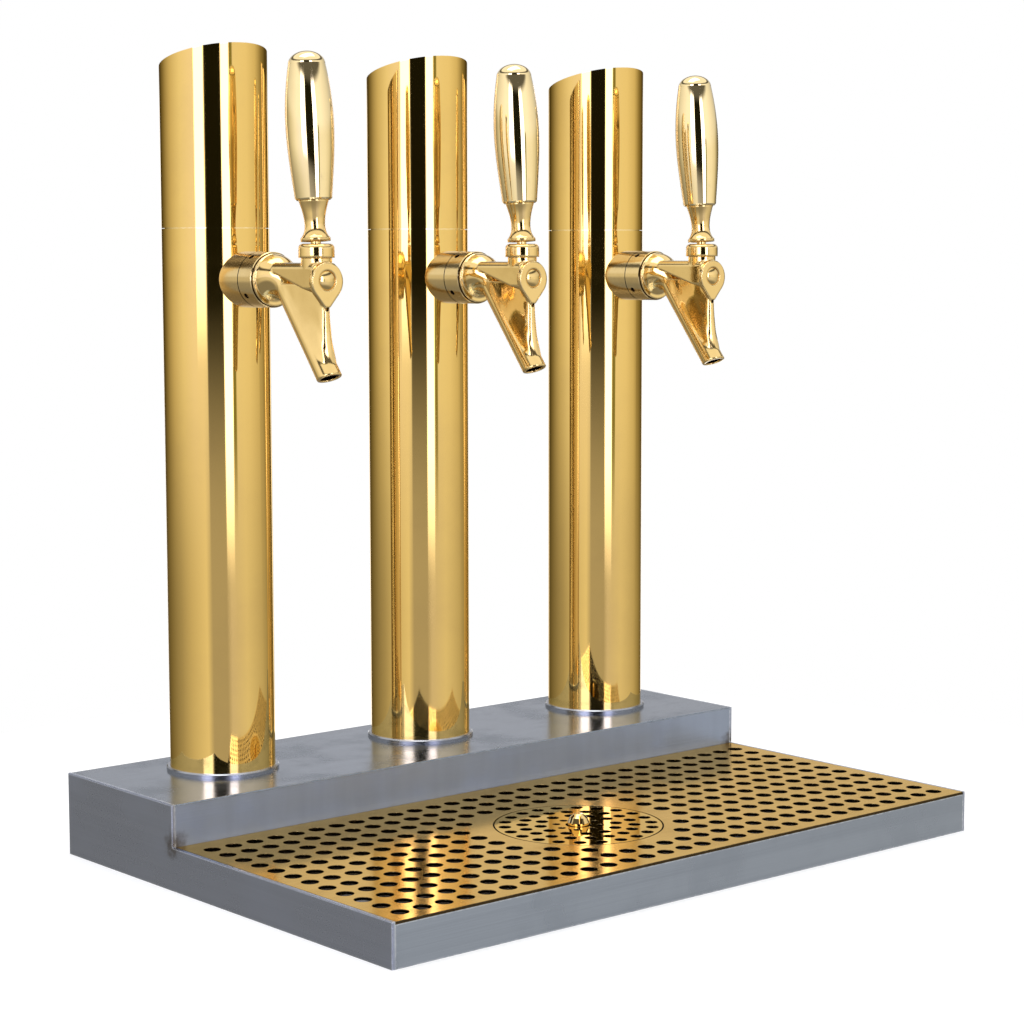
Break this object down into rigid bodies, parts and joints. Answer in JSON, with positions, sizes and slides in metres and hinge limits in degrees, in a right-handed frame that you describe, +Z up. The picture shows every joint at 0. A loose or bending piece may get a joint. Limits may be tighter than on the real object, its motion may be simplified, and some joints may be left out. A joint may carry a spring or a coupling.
{
  "type": "beer tower dispenser",
  "caption": "Counter-top beer tower: stepped steel base with perforated drip tray and glass rinser, and a row of round brass columns, each with a lever tap.",
  "frame": {"origin": "middle of the footprint at the underside", "axes": "+Z up, taps face -Y, the long side of the base lies along X"},
  "size_m": [0.544, 0.38, 0.5778],
  "materials": {
    "brushed_stainless": "brushed",
    "plain_stainless": "plain",
    "spring_wire": "drawn",
    "rubber": "matte",
    "friction_plastic": "matte",
    "satin_brass": "satin",
    "polished_brass": "polished"
  },
  "bodies": {
    "tower": {"end_panel_left": "brushed_stainless", "end_panel_right": "brushed_stainless", "riser_cover": "brushed_stainless", "front_panel": "brushed_stainless", "base_plate": "brushed_stainless", "weld_nuts": "plain_stainless", "drip_basin": "brushed_stainless", "drain_fitting": "plain_stainless", "rinser_disc": "polished_brass", "rinser_valve": "plain_stainless", "rinser_spring": "spring_wire", "foot_flanges": "plain_stainless", "foot_screws": "plain_stainless", "shank_locknuts": "plain_stainless", "friction_washers": "friction_plastic", "column_tube_left": "polished_brass", "foot_ring_left": "polished_brass", "wall_sleeve_left": "satin_brass", "shank_left": "polished_brass", "coupling_nut_left": "satin_brass", "tap_body_left": "polished_brass", "bonnet_left": "polished_brass", "beer_line_left": "plain_stainless", "column_tube_middle": "polished_brass", "foot_ring_middle": "polished_brass", "wall_sleeve_middle": "satin_brass", "shank_middle": "polished_brass", "coupling_nut_middle": "satin_brass", "tap_body_middle": "polished_brass", "bonnet_middle": "polished_brass", "beer_line_middle": "plain_stainless", "column_tube_right": "polished_brass", "foot_ring_right": "polished_brass", "wall_sleeve_right": "satin_brass", "shank_right": "polished_brass", "coupling_nut_right": "satin_brass", "tap_body_right": "polished_brass", "bonnet_right": "polished_brass", "beer_line_right": "plain_stainless"},
    "drip_grille": {"drip_grille": "polished_brass"},
    "rinser_nozzle": {"rinser_nozzle": "polished_brass"},
    "lever_left": {"lever_left": "polished_brass", "ferrule_left": "polished_brass", "handle_left": "polished_brass"},
    "plunger_left": {"plunger_left": "polished_brass", "seat_washer_left": "rubber"},
    "column_cap_left": {"column_cap_left": "polished_brass"},
    "lever_middle": {"lever_middle": "polished_brass", "ferrule_middle": "polished_brass", "handle_middle": "polished_brass"},
    "plunger_middle": {"plunger_middle": "polished_brass", "seat_washer_middle": "rubber"},
    "column_cap_middle": {"column_cap_middle": "polished_brass"},
    "lever_right": {"lever_right": "polished_brass", "ferrule_right": "polished_brass", "handle_right": "polished_brass"},
    "plunger_right": {"plunger_right": "polished_brass", "seat_washer_right": "rubber"},
    "column_cap_right": {"column_cap_right": "polished_brass"}
  },
  "joints": [
    {"name": "grille_lift", "type": "slide", "parent": "tower", "child": "drip_grille", "axis": [0, 0, 1], "range_m": [0, 0.06]},
    {"name": "rinser_press", "type": "slide", "parent": "tower", "child": "rinser_nozzle", "axis": [0, 0, -1], "range_m": [0, 0.004], "stiffness_N_per_m": 400, "springref_m": -0.005, "deforming": ["rinser_spring"]},
    {"name": "lever_tilt_left", "type": "hinge", "parent": "tower", "child": "lever_left", "pos_m": [-0.1755, 0.0125, 0.429], "axis": [1, 0, 0], "range_deg": [0, 30]},
    {"name": "plunger_slide_left", "type": "slide", "parent": "tower", "child": "plunger_left", "axis": [0, 1, 0], "range_m": [0, 0.0078]},
    {"name": "cap_lift_left", "type": "slide", "parent": "tower", "child": "column_cap_left", "axis": [0, 0, 1], "range_m": [0, 0.05]},
    {"name": "lever_tilt_middle", "type": "hinge", "parent": "tower", "child": "lever_middle", "pos_m": [0.0085, 0.0125, 0.429], "axis": [1, 0, 0], "range_deg": [0, 30]},
    {"name": "plunger_slide_middle", "type": "slide", "parent": "tower", "child": "plunger_middle", "axis": [0, 1, 0], "range_m": [0, 0.0078]},
    {"name": "cap_lift_middle", "type": "slide", "parent": "tower", "child": "column_cap_middle", "axis": [0, 0, 1], "range_m": [0, 0.05]},
    {"name": "lever_tilt_right", "type": "hinge", "parent": "tower", "child": "lever_right", "pos_m": [0.1925, 0.0125, 0.429], "axis": [1, 0, 0], "range_deg": [0, 30]},
    {"name": "plunger_slide_right", "type": "slide", "parent": "tower", "child": "plunger_right", "axis": [0, 1, 0], "range_m": [0, 0.0078]},
    {"name": "cap_lift_right", "type": "slide", "parent": "tower", "child": "column_cap_right", "axis": [0, 0, 1], "range_m": [0, 0.05]}
  ],
  "couplings": [
    {"joint": "plunger_slide_left", "follows": "lever_tilt_left", "m_per_rad": 0.014848},
    {"joint": "plunger_slide_middle", "follows": "lever_tilt_middle", "m_per_rad": 0.014848},
    {"joint": "plunger_slide_right", "follows": "lever_tilt_right", "m_per_rad": 0.014848}
  ]
}
